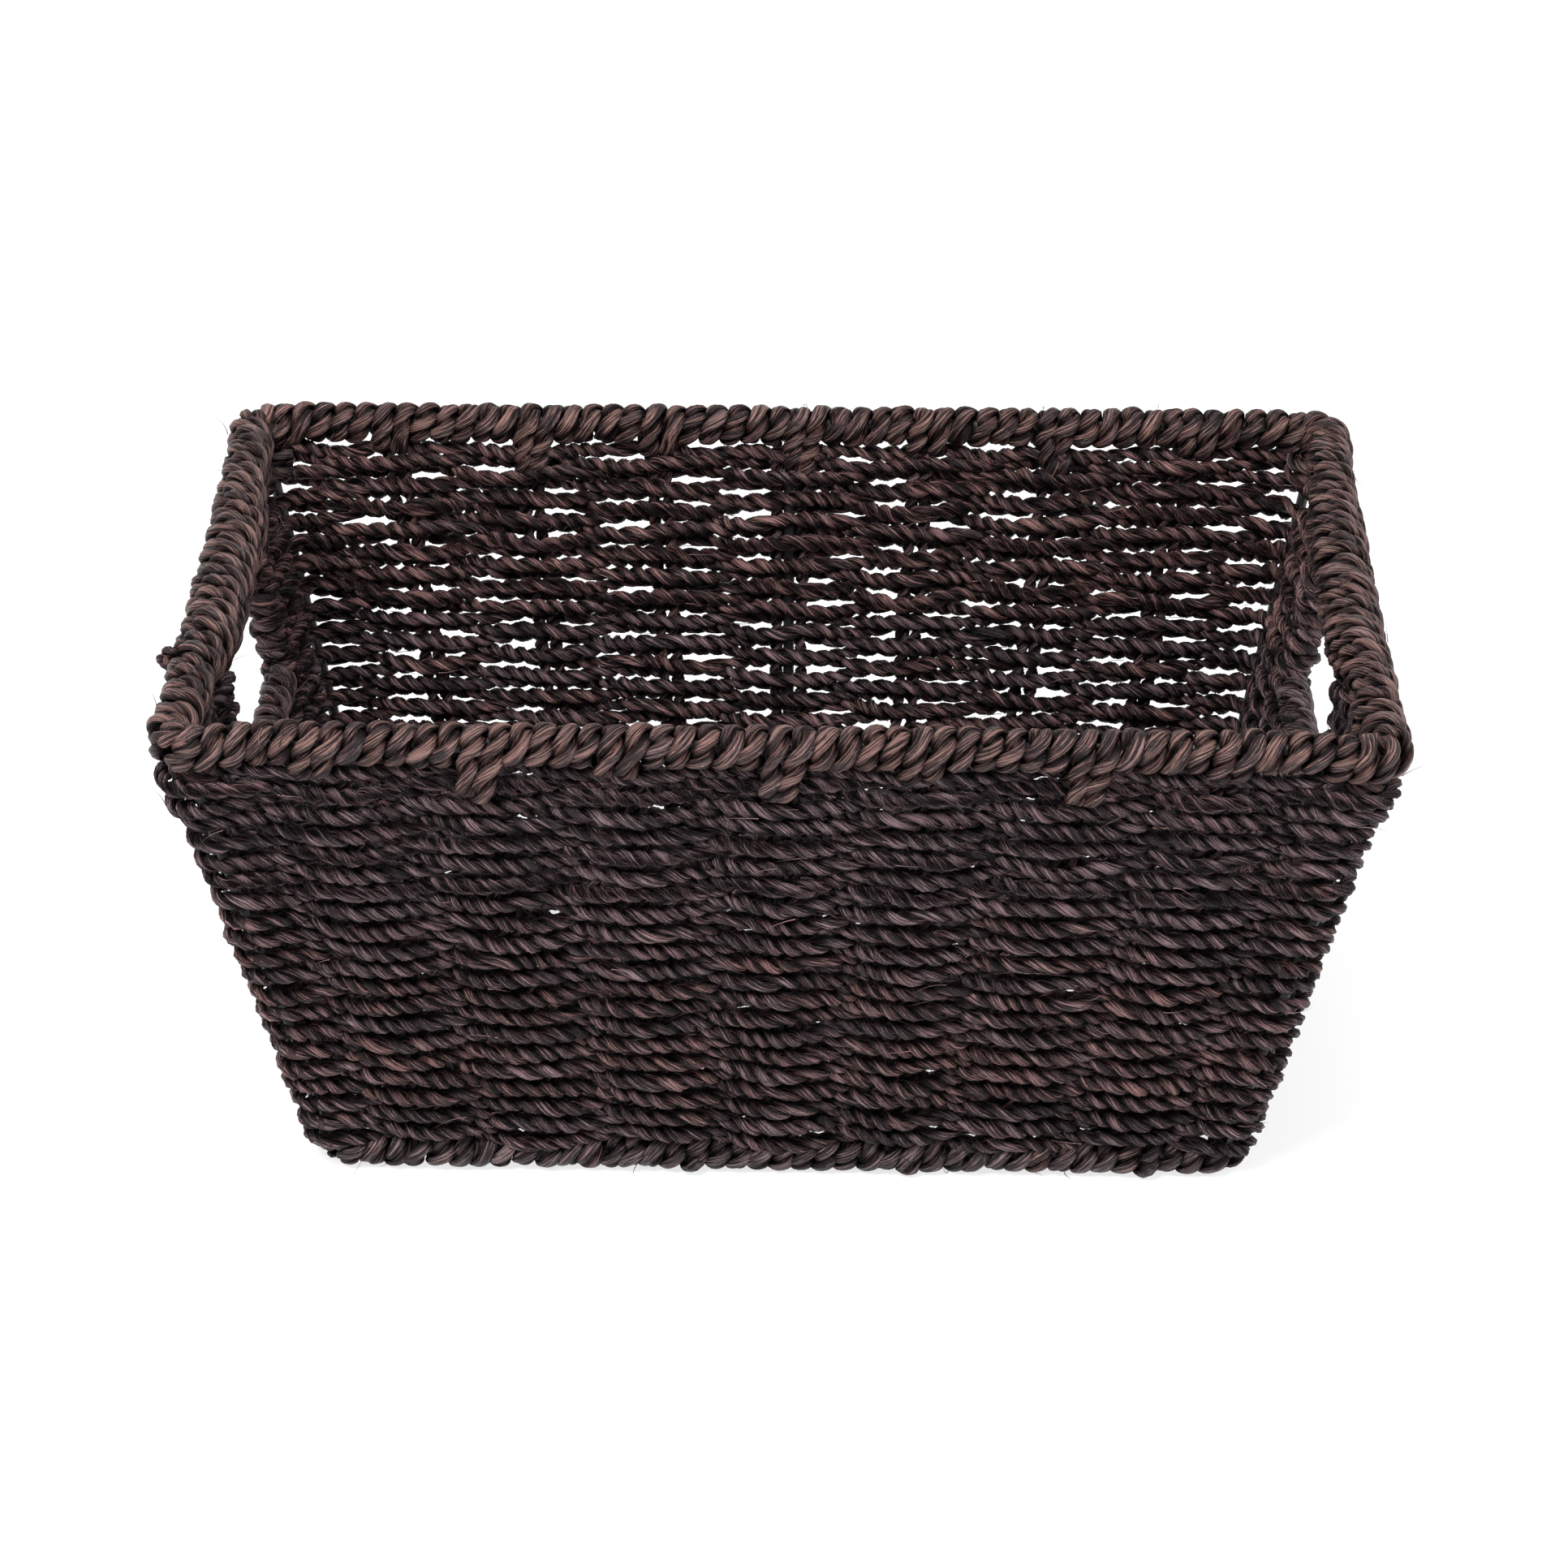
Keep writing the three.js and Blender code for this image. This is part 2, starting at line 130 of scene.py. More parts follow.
def rod_ring(node):
    """Half sizes and height of a rod ring's centreline."""
    lo, hi = box_mm(node)
    radius = (hi[2] - lo[2]) / 2
    return np.array([hi[0] - radius, hi[1] - radius, (hi[2] + lo[2]) / 2])


RIM = rod_ring("rim_rod")
BASE = rod_ring("base_rod")
LEAN = (RIM[:2] - BASE[:2]) / (RIM[2] - BASE[2])
BAR_Z = middle("handle_bar_left")[2]


def half_sizes(z):
    """Half length and half width of the middle of the walls at height z, which may be an array."""
    return RIM[:2] - np.multiply.outer(RIM[2] - z, LEAN)


# places of the uprights, as shares of the wall's half length
STAKE_NUMBERS = range(1, 8)
STAKE_SHARES = [middle(f"base_stake_{i}")[0] / BASE[0] for i in STAKE_NUMBERS]
post_lo, _ = box_mm("handle_post_left_front")
POST_RADIUS = 2.0
POST_SHARE = -(post_lo[1] + POST_RADIUS) / RIM[1]
stake_lo, stake_hi = box_mm("stake_left_1")
STAKE_RADIUS = 2.65
END_SHARE = -(stake_lo[1] + 2 * STAKE_RADIUS) / half_sizes(stake_hi[2])[1]
END_SHARES = [-END_SHARE, -POST_SHARE, 0.0, POST_SHARE, END_SHARE]

# numbers of some uprights, counted round the wall from the first stake of the front; -1 and 27 are one corner
RIGHT_FRONT_POST, LEFT_FRONT_POST = 9, 25
CORNERS = (-1, 7, 13, 21, 27)


# ---- small tools ----
def unit(v):
    return v / np.linalg.norm(v, axis=-1, keepdims=True)


def dot(a, b):
    return np.sum(a * b, axis=-1, keepdims=True)


def flat_vectors(v):
    """Plan vectors with a zero height."""
    return np.concatenate([v, np.zeros((len(v), 1))], 1)


def wander(rng, s, wavelength, amount, period=None):
    """Smooth random change along a cord. It closes on itself when a period is given."""
    waves = 5
    total = np.zeros_like(s)
    for _ in range(waves):
        cycles = rng.uniform(0.5, 1.6) / wavelength
        if period:
            cycles = max(1, round(cycles * period)) / period
        total += np.sin(TURN * (cycles * s + rng.uniform()))
    return amount * total * math.sqrt(2 / waves)


def lengths(points):
    steps = np.linalg.norm(np.diff(points, axis=0), axis=1)
    return np.concatenate([[0.0], np.cumsum(steps)])


def resample(step, points, *others):
    """The same line in even steps, and the other arrays at the same places."""
    s = lengths(points)
    even = np.linspace(0, s[-1], max(4, int(s[-1] / step) + 1))
    out = []
    for a in (points, *others):
        a = np.asarray(a, float)
        if a.ndim == 1:
            out.append(np.interp(even, s, a))
        else:
            out.append(np.stack([np.interp(even, s, a[:, i]) for i in range(a.shape[1])], axis=1))
    return out


def smooth_step(x, lo, hi):
    t = np.clip((x - lo) / (hi - lo), 0, 1)
    return t * t * (3 - 2 * t)


def near(distance, full, none):
    """One up to the first distance, falling to zero at the second."""
    return smooth_step(-distance, -none, -full)


def tangents(points, closed):
    if closed:
        return unit(np.roll(points, -1, axis=0) - np.roll(points, 1, axis=0))
    return unit(np.gradient(points, axis=0))


def carried_normals(points, first):
    """A normal carried along the line without turning about it."""
    t = tangents(points, False)
    out = np.empty_like(points)
    n = first
    for i in range(len(points)):
        n = n - np.dot(n, t[i]) * t[i]
        n = n / math.sqrt(np.dot(n, n))
        out[i] = n
    return out


# ---- mesh pieces made of cords ----
UV_CELL_SHAPE = 0.11  # width over height of the cell that one ring of faces takes in the texture square
UV_MARGIN = 0.05


class Piece:
    """Collects tubes as rings of points and turns them into one mesh."""

    def __init__(self):
        self.tubes = []

    def tube(self, rings, grain, tone, closed):
        self.tubes.append((rings, grain, tone, closed))

    def make(self, name, material, nodes):
        verts, grains, tone_and_painted_light, quads, cells, strip = [], [], [], [], [], []
        start, column = 0, 0
        for rings, grain, tone, closed in self.tubes:
            n, sides = rings.shape[:2]
            verts.append(rings.reshape(-1, 3))
            grains.append(grain.reshape(-1, 3))
            tone_and_painted_light.append(tone.reshape(-1, 3))
            i = np.arange(n if closed else n - 1)
            a, b = np.meshgrid(i, np.arange(sides), indexing="ij")
            a2, b2 = (a + 1) % n, (b + 1) % sides
            corners = [a * sides + b, a * sides + b2, a2 * sides + b2, a2 * sides + b]
            quads.append(np.stack(corners, -1).reshape(-1, 4) + start)
            cells.append(np.stack([(a + column).ravel(), (b / sides).ravel()], -1))
            strip.append(np.full(a.size, 1 / sides))
            start += n * sides
            column += len(i)
        verts = np.concatenate(verts) * MM
        quads = np.concatenate(quads).astype(np.int32)
        mesh = bpy.data.meshes.new(name)
        mesh.vertices.add(len(verts))
        mesh.vertices.foreach_set("co", verts.astype(np.float32).ravel())
        mesh.loops.add(quads.size)
        mesh.loops.foreach_set("vertex_index", quads.ravel())
        mesh.polygons.add(len(quads))
        mesh.polygons.foreach_set("loop_start", np.arange(0, quads.size, 4, dtype=np.int32))
        mesh.polygons.foreach_set("use_smooth", np.ones(len(quads), bool))
        mesh.update(calc_edges=True)
        # the tone attribute holds the random tone, the warmth and the painted crest light
        for attribute, values in (("grain", grains), ("tone", tone_and_painted_light)):
            data = mesh.attributes.new(attribute, "FLOAT_VECTOR", "POINT").data
            data.foreach_set("vector", np.concatenate(values).astype(np.float32).ravel())
        layer = mesh.uv_layers.new(name="OFBake")
        uv = self.strips(column, np.concatenate(cells), np.concatenate(strip))
        layer.data.foreach_set("uv", uv.astype(np.float32).ravel())
        mesh.validate()
        mesh.materials.append(material)
        obj = bpy.data.objects.new(name, mesh)
        bpy.context.scene.collection.objects.link(obj)
        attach(obj, "root")
        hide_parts(*nodes)
        return obj

    @staticmethod
    def strips(columns, cells, strip):
        """The strips of all tubes side by side, in rows that fill the texture square."""
        rows = max(1, round(math.sqrt(columns * UV_CELL_SHAPE)))
        per_row = math.ceil(columns / rows)
        row, col = cells[:, 0] // per_row, cells[:, 0] % per_row
        v0 = (row + UV_MARGIN + (1 - 2 * UV_MARGIN) * cells[:, 1]) / rows
        v1 = v0 + (1 - 2 * UV_MARGIN) * strip / rows
        u0, u1 = col / per_row, (col + 1) / per_row
        corners = ((u0, v0), (u0, v1), (u1, v1), (u1, v0))
        return np.stack([np.stack(corner, -1) for corner in corners], 1)


def cord(piece, rng, points, normals, radius, lay, sides, closed=False, squash=(), ridge=0.0, tone=WEFT_TONE,
         both_faces=True):
    """A two-ply cord with right-handed twist along a line. squash holds (direction, factor) pairs. both_faces
    says that the side against the normals is seen too; it then gets painted light on its crests like the
    front, where otherwise it is painted in full shade."""
    t = tangents(points, closed)
    n = unit(normals - dot(normals, t) * t)
    b = np.cross(t, n)
    s = lengths(points)
    whole = s[-1] + (np.linalg.norm(points[0] - points[-1]) if closed else 0)
    period = whole if closed else None
    turns = whole / (lay * (1 + rng.normal(0, LAY_SPREAD)))
    turns = max(1, round(turns)) if closed else turns
    phi = rng.uniform(0, TURN) + TURN * turns * s / whole + wander(rng, s, *TWIST_WANDER, period)
    radius = np.broadcast_to(radius, s.shape) * (1 + wander(rng, s, *SIZE_WANDER, period))
    psi = np.arange(sides) * TURN / sides
    ends = np.ones_like(s)
    if not closed:
        for i, size in enumerate(END_TAPER):
            ends[[i, -1 - i]] = size
    cord_tone = tone + rng.normal(0, TONE_SPREAD) + wander(rng, s, *TONE_WANDER, period)
    cord_warm = rng.uniform(0, 1) + wander(rng, s, *WARM_WANDER, period)
    for ply in range(2):
        phase = (phi + math.pi * ply)[:, None]
        out = np.cos(phase) * n + np.sin(phase) * b
        side = -np.sin(phase) * n + np.cos(phase) * b
        uneven = 1 + rng.normal(0, PLY_SIZE_SPREAD) + wander(rng, s, *PLY_SIZE_WANDER, period)
        ply_radius = radius * uneven * ends
        ribs = 1 + ridge * np.cos(5 * psi[None] + 0.5 * s[:, None] + rng.uniform(0, TURN)) \
            + 0.5 * ridge * np.cos(8 * psi[None] - 0.3 * s[:, None])
        radial = (PLY_RADIAL * ply_radius[:, None] * np.cos(psi)[None] * ribs)[..., None]
        across = (PLY_ACROSS * ply_radius[:, None] * np.sin(psi)[None] * ribs)[..., None]
        ply_middle = PLY_OFFSET * radius[:, None, None] * out[:, None]
        offset = ply_middle + radial * out[:, None] + across * side[:, None]
        # painted shade and light: a factor that is low in the groove between the plies, on the inner side of
        # each ply and on a side that is never seen, and high on the crests
        facing = dot(offset, n[:, None])[..., 0] / radius[:, None]
        if both_faces:
            facing = np.abs(facing)
        painted_crest_light = smooth_step(facing, 0.0, 0.75) * (0.55 + 0.45 * smooth_step(np.cos(psi), -0.6, 0.7))[None]
        for direction, factor in squash:
            d = np.broadcast_to(direction, points.shape)[:, None]
            offset = offset + (np.broadcast_to(factor, s.shape)[:, None, None] - 1) * dot(offset, d) * d
        rings = points[:, None] + offset
        angle = psi[None] + GRAIN_TWIST * s[:, None]
        shift = rng.uniform(-GRAIN_FAR, GRAIN_FAR, 3)
        grain = np.stack([np.cos(angle) * GRAIN_RADIUS + shift[0], np.sin(angle) * GRAIN_RADIUS + shift[1],
                          np.broadcast_to(s[:, None], angle.shape) + shift[2]], -1)
        ply_tone = cord_tone + rng.normal(0, PLY_TONE_SPREAD) + wander(rng, s, *PLY_TONE_WANDER, period)
        warm = np.broadcast_to((cord_warm + rng.normal(0, WARM_SPREAD))[:, None], angle.shape)
        # the third value is the painted light: high on the crests, low where shade falls in the grooves
        tone_and_painted_light = np.stack([np.broadcast_to(ply_tone[:, None], angle.shape), warm, painted_crest_light], -1)
        piece.tube(rings, grain, tone_and_painted_light, closed)


def fibres(piece, rng, points, normals, radius, every):
    """Loose fibres that lift off a cord, about one every so many millimetres."""
    t = tangents(points, False)
    for i in rng.integers(4, len(points) - 4, int(lengths(points)[-1] / every)):
        n = unit(normals[i] - np.dot(normals[i], t[i]) * t[i])
        b = np.cross(t[i], n)
        turn = rng.uniform(0, TURN)
        out = math.cos(turn) * n + math.sin(turn) * b
        aside = np.cross(t[i], out)
        way = t[i] * rng.choice([-1, 1])
        reach, lift = rng.uniform(*FIBRE_REACH), rng.uniform(*FIBRE_LIFT)
        u = np.linspace(0, 1, FIBRE_RINGS)
        stray = rng.normal(0, FIBRE_BEND) * u ** 2 + rng.normal(0, FIBRE_WAVE) * np.sin(4 * u)
        line = points[i] + (radius * 0.9 + lift * u ** 2)[:, None] * out + (reach * u)[:, None] * way \
            + stray[:, None] * aside
        line[:, 2] = np.maximum(line[:, 2], FLOOR_GAP)
        thick = rng.uniform(*FIBRE_THICK) * (1.05 - u)
        psi = np.arange(3) * TURN / 3
        ring = np.cos(psi)[:, None] * out + np.sin(psi)[:, None] * aside
        rings = line[:, None] + thick[:, None, None] * ring[None]
        grain = np.broadcast_to(rng.uniform(-GRAIN_FAR, GRAIN_FAR, 3), rings.shape)
        # the third value is the painted crest light, set high on a loose fibre
        tone_and_painted_light = np.broadcast_to([rng.uniform(0.3, 0.8), rng.uniform(0, 1), 0.8], rings.shape)
        piece.tube(rings, grain, tone_and_painted_light, False)


# ---- lines round the walls ----
def perimeter(s, x, y, bend):
    """Plan points and outward normals at lengths s round a rounded rectangle, from the start of its front."""
    arc = bend * math.pi / 2
    side_lengths = [2 * (x - bend), 2 * (y - bend)] * 2
    total = sum(side_lengths) + 4 * arc
    s = np.mod(s, total)
    points, normals = np.zeros((len(s), 2)), np.zeros((len(s), 2))
    starts = [(-(x - bend), -y), (x, -(y - bend)), (x - bend, y), (-x, y - bend)]
    at = 0.0
    for i, length in enumerate(side_lengths):
        heading = i * math.pi / 2
        along = np.array([math.cos(heading), math.sin(heading)])
        normal = np.array([math.sin(heading), -math.cos(heading)])
        on_side = (s >= at) & (s < at + length)
        points[on_side] = np.array(starts[i]) + along * (s[on_side] - at)[:, None]
        normals[on_side] = normal
        at += length
        on_arc = (s >= at) & (s < at + arc)
        turn = ((s[on_arc] - at) / bend)[:, None]
        n = normal * np.cos(turn) + along * np.sin(turn)
        points[on_arc] = np.array(starts[i]) + along * length - normal * bend + bend * n
        normals[on_arc] = n
        at += arc
    return points, normals


def perimeter_length(x, y, bend):
    return 4 * (x + y - 2 * bend) + TURN * bend


def side_ends(halves, bend):
    """Lengths at which the corners after the four sides of a rounded rectangle end."""
    arc = bend * math.pi / 2
    return np.cumsum([2 * (halves[i % 2] - bend) + arc for i in range(4)])


def stations(x, y, bend):
    """Lengths round the wall at which the uprights stand, and the whole length."""
    arc = bend * math.pi / 2
    places = []
    at = 0.0
    for half, shares in ((x, STAKE_SHARES), (y, END_SHARES)) * 2:
        places += [at + half - bend + share * half for share in shares]
        at += 2 * (half - bend)
        places.append(at + arc / 2)
        at += arc
    return np.array(places), at


def wall_frame(plan_normals):
    """Outward normal of the leaning wall and the direction up its slope."""
    lean = np.abs(plan_normals) @ LEAN
    flat = flat_vectors(plan_normals)
    normal = unit(flat - lean[:, None] * UP)
    slope = unit(lean[:, None] * flat + UP)
    return normal, slope


def row_height(k):
    return RIM[2] - FIRST_ROW - ROW_PITCH * k


def row_bend(k):
    """Rows that pass outside the corner posts turn tighter than those that pass inside."""
    return CORNER_BEND_OUTSIDE if k % 2 else CORNER_BEND_INSIDE


def row_line(k, s):
    """Points of row k at lengths s, with the wall's normal and slope and how flat the row is pressed."""
    z = row_height(k)
    x, y = half_sizes(z)
    bend = row_bend(k)
    places, total = stations(x, y, bend)
    count = len(places)
    three_rounds = np.concatenate([places - total, places, places + total])
    phase = np.interp(np.mod(s, total), three_rounds, np.arange(-count, 2 * count))
    swing = ROW_SWING * TOP_ROW_SWING if k < TOP_ROWS else ROW_SWING
    wave = np.cos(math.pi * phase)
    plan, plan_normals = perimeter(s, x, y, bend)
    normal, slope = wall_frame(plan_normals)
    base = np.concatenate([plan, np.full((len(s), 1), z)], 1)
    sign = -1 if k % 2 else 1
    at_corner = near(np.min([np.abs(phase - corner) for corner in CORNERS], axis=0), 0.1, 0.9)
    points = base + (sign * swing * wave + CORNER_SWELL.get(k, 0) * at_corner)[:, None] * normal
    pressed = PRESSED_BETWEEN + PRESSED_GAIN * np.abs(wave)
    return points, normal, slope, pressed


def uneven_line(rng, s, points, slope, normal, period=None):
    up = wander(rng, s, *ROW_UP_WANDER, period)[:, None] * slope
    out = wander(rng, s, *ROW_OUT_WANDER, period)[:, None] * normal
    return points + up + out


def weft_cord(piece, rng, points, twist_normals, normal, slope, pressed, closed):
    radius = WEFT_RADIUS * (1 + np.clip(rng.normal(0, 0.05), -0.1, 0.1))
    cord(piece, rng, points, twist_normals, radius, WEFT_LAY, WEFT_SIDES, closed=closed,
         squash=((slope, pressed), (normal, 1 / np.sqrt(pressed))), ridge=RIDGE)
    fibres(piece, rng, points, twist_normals, WEFT_RADIUS, WEFT_FIBRE_EVERY)


def add_round(piece, rng, k):
    """A row that goes all the way round."""
    bend = row_bend(k)
    total = perimeter_length(*half_sizes(row_height(k)), bend)
    s = np.arange(0, total, WEFT_STEP)
    points, normal, slope, pressed = row_line(k, s)
    points = uneven_line(rng, s, points, slope, normal, total)
    weft_cord(piece, rng, points, normal, normal, slope, pressed, True)


def turn_round_post(rng, k, last_point, outward):
    """Half a turn round the handle post, from the end of row k down to the next row."""
    z = row_height(k)
    end = -1 if k % 2 else 1
    beta = np.linspace(0, math.pi, TURN_POINTS)[1:-1]
    share = beta / math.pi
    halves = half_sizes(z - ROW_PITCH * share)
    high = 1 - smooth_step(RIM[2] - z, HOLE_ROUNDING_FROM, HOLE_ROUNDING_TO)
    post_x = end * halves[:, 0] - end * HOLE_SWELL * high * np.sin(beta)
    post_y = -POST_SHARE * halves[:, 1] + (HOLE_ROUNDING * high - TURN_OUTSIDE_HOLE) * np.sin(beta)
    centre = np.stack([post_x, post_y, z - ROW_PITCH * smooth_step(share, 0, 1)], 1)
    start = np.array([post_x[0], post_y[0], last_point[2]])
    sign = 1 if np.dot(last_point - start, outward) > 0 else -1
    bulge = (POST_RADIUS + WEFT_RADIUS) * (TURN_BULGE + rng.uniform(*TURN_BULGE_SPREAD))
    over = ROW_SWING * (np.cos(beta) * sign)[:, None] * outward
    toward_hole = (bulge * np.sin(beta))[:, None] * np.array([0.0, 1.0, 0.0])
    return centre + over + toward_hole


def add_snake(piece, rng, half_turn):
    """The rows beside the hand holes: one cord that goes back and forth and turns round the handle posts."""
    points, normals, slopes, pressed = [], [], [], []

    def collect(line, normal, slope, flatness):
        points.append(line)
        normals.append(normal)
        slopes.append(slope)
        pressed.append(flatness)

    for k in range(ROWS_BESIDE_HOLE):
        places, total = stations(*half_sizes(row_height(k)), row_bend(k))
        s = np.arange(places[LEFT_FRONT_POST] - total, places[RIGHT_FRONT_POST], WEFT_STEP)
        if k % 2:
            s = s[::-1]
        line, normal, slope, flatness = row_line(k, s)
        line = uneven_line(rng, s, line, slope, normal)
        collect(line, normal, slope, flatness)
        if k < ROWS_BESIDE_HOLE - 1:
            turn = turn_round_post(rng, k, line[-1], normal[-1])
            count = len(turn)
            collect(turn, np.tile(normal[-1], (count, 1)), np.tile(slope[-1], (count, 1)),
                    np.full(count, TURN_PRESSED))
    joined = [np.concatenate(parts) for parts in (points, normals, slopes, pressed)]
    points, normals, slopes, pressed = resample(WEFT_STEP, *joined)
    if half_turn:
        flip = np.array([-1.0, -1.0, 1.0])
        points, normals, slopes = points * flip, normals * flip, slopes * flip
    normals, slopes = unit(normals), unit(slopes)
    weft_cord(piece, rng, points, carried_normals(points, normals[0]), normals, slopes, pressed, False)


# ---- windings ----
LOW_POINT = 0.75  # where a turn of the winding is lowest, as a share of the turn


def winding(plan, s0, s1, pitch, section, drops, rng):
    """Helix round a line. plan(s) gives points and outward directions, section(s) the oval it follows:
    inward and downward shift of its middle, half width, half height above and below. drops(s) says how far
    a loop hangs, how much it widens there and how far it is pulled along the line."""
    s = np.linspace(s0, s1, WINDING_SAMPLES)
    theta_of_s = np.cumsum(TURN / pitch(s) * np.gradient(s))
    theta = np.arange(theta_of_s[0], theta_of_s[-1], HELIX_STEP)
    along = np.interp(theta, theta_of_s, s)
    loop = np.round(theta / TURN - LOW_POINT).astype(int)
    loops = np.arange(loop.min(), loop.max() + 1)
    centre_of_loop = np.interp((loops + LOW_POINT) * TURN, theta_of_s, s)
    drop, widen, pull = (value[loop - loops[0]] for value in drops(centre_of_loop))
    jitter = rng.normal(0, LOOP_JITTER, len(loops) + 1)
    along = along + np.interp(theta / TURN - 0.25, loops[0] + np.arange(len(loops) + 1) - 0.5, jitter)
    inward, down, wide, above, below = section(along)
    c, h = np.cos(theta), np.sin(theta)
    low = smooth_step(-h, 0, 0.8)
    along = along + LOOP_LEAN * np.sin(2 * theta) / 2 + pull * low
    base, outward = plan(along)
    swell = 1 + wander(rng, theta, 9.0, 0.03)
    out = (wide * swell + widen * low) * c - inward
    up = np.where(h > 0, above, below) * h * swell - down - drop * low
    points = base + out[:, None] * outward + up[:, None] * UP
    radial = unit(c[:, None] * outward + h[:, None] * UP)
    return resample(WRAP_STEP, points, radial, along)


def cut_marks(cuts, along):
    """Numbers of the rings at which one winding is cut into pieces, from its first ring to its last."""
    return [0] + [int(np.argmax(along >= cut)) for cut in cuts] + [len(along) - 1]


def winding_cord(marks, rng, points, radial, names, nodes, tone=WRAP_TONE, extras=None):
    """One cord along a winding, cut at the marks into named pieces. Neighbours share the ring at a cut.
    extras holds a Piece of further tubes for some of the names."""
    whole = Piece()
    sideways = unit(np.cross(tangents(points, False), radial))
    cord(whole, rng, points, radial, WRAP_RADIUS, WRAP_LAY, WRAP_SIDES,
         squash=((unit(radial), WRAP_FLAT), (sideways, WRAP_WIDE)), ridge=RIDGE, tone=tone, both_faces=False)
    spans = list(zip(marks[:-1], marks[1:]))
    loose = [Piece() for _ in names]
    for piece, (a, b) in zip(loose, spans):
        fibres(piece, rng, points[a:b], radial[a:b], WRAP_RADIUS * 0.9, WRAP_FIBRE_EVERY)
    for name, node, fluff, (a, b) in zip(names, nodes, loose, spans):
        part = Piece()
        for rings, grain, tone_and_painted_light, _ in whole.tubes:
            part.tube(rings[a:b + 1], grain[a:b + 1], tone_and_painted_light[a:b + 1], False)
        part.tubes += fluff.tubes
        if extras and name in extras:
            part.tubes += extras[name].tubes
        part.make(name, wrap_look, [node])


def ring_plan(half_x, half_y, z, bend):
    def plan(s):
        p, n = perimeter(s, half_x, half_y, bend)
        return np.concatenate([p, np.zeros((len(s), 1)) + z], 1), flat_vectors(n)
    return plan


def bar_plan(x, z, sign):
    """A straight bar across one end of the basket."""
    def plan(s):
        zero = np.zeros(len(s))
        return np.stack([zero + x, s * sign, zero + z], 1), np.stack([zero + sign, zero, zero], 1)
    return plan


def oval(wide, above, below):
    return lambda s: tuple(np.full(len(s), v) for v in (0.0, 0.0, wide, above, below))


def even(pitch):
    return lambda s: np.full_like(s, pitch)


def no_drops(centres):
    return (np.zeros(len(centres)),) * 3


# ---- cord coiled round an upright wire ----
COIL_STEP = 0.12  # radians
POST_BINDING_RADIUS, POST_BINDING_PITCH = 2.6, 5.4
CORNER_BINDING_RADIUS, CORNER_BINDING_FLAT = 2.9, 0.8


def coil(turns, drop, pitch, reach, inset, shares):
    """Line and outward directions of a coil, from a drop under the rim rod, round a wire at shares of the
    walls' half sizes less an inset."""
    theta = np.arange(turns[0] * TURN, turns[1] * TURN, COIL_STEP)
    z = RIM[2] - drop - pitch * theta / TURN
    ring = np.stack([np.cos(theta), np.sin(theta)], 1) * np.sign(shares)
    line = np.concatenate([(half_sizes(z) - inset) * shares + reach * ring, z[:, None]], 1)
    line, out = resample(WRAP_STEP, line, flat_vectors(ring))
    return line, unit(out)


def add_post_binding(piece, rng, sign_x, sign_y):
    """A cord wound round a handle post between the rim and the handle bar."""
    turns = (RIM[2] - BAR_Z - 10) / POST_BINDING_PITCH
    line, out = coil(turns=(0, turns), drop=8.0, pitch=POST_BINDING_PITCH, reach=3.5, inset=0.0,
                     shares=(sign_x, sign_y * POST_SHARE))
    cord(piece, rng, line, out, POST_BINDING_RADIUS, WEFT_LAY, WEFT_SIDES, ridge=RIDGE, both_faces=False)


def add_corner_binding(piece, rng, sign_x, sign_y):
    """The rim's cord goes round the corner post under the rim."""
    line, out = coil(turns=(-0.3, 2.1), drop=7.0, pitch=4.6, reach=6.0, inset=3.5, shares=(sign_x, sign_y))
    cord(piece, rng, line, out, CORNER_BINDING_RADIUS, WRAP_LAY, WRAP_SIDES,
         squash=((out, CORNER_BINDING_FLAT),), ridge=RIDGE, tone=BORDER_TONE, both_faces=False)


# ---- materials ----
# painted shade: the colour that the hollows are multiplied towards
PAINTED_HOLLOW_SHADE = (0.28, 0.23, 0.24)
COOL_TINT, WARM_TINT = (0.92, 0.94, 1.06), (1.25, 0.92, 0.82)
TINT_STRENGTH = 0.7
DARK_AT, MIDDLE_AT, LIGHT_AT, GLINT_AT = 0.22, 0.55, 0.90, 1.0
SPECULAR_TINT = (1.0, 0.84, 0.86)
SEAM_WIDTH = 0.16
RELIEF = 2.2


def shader(name):
    material = bpy.data.materials.new(name)
    material.use_nodes = True
    tree = material.node_tree
    return material, tree, tree.nodes["Principled BSDF"]


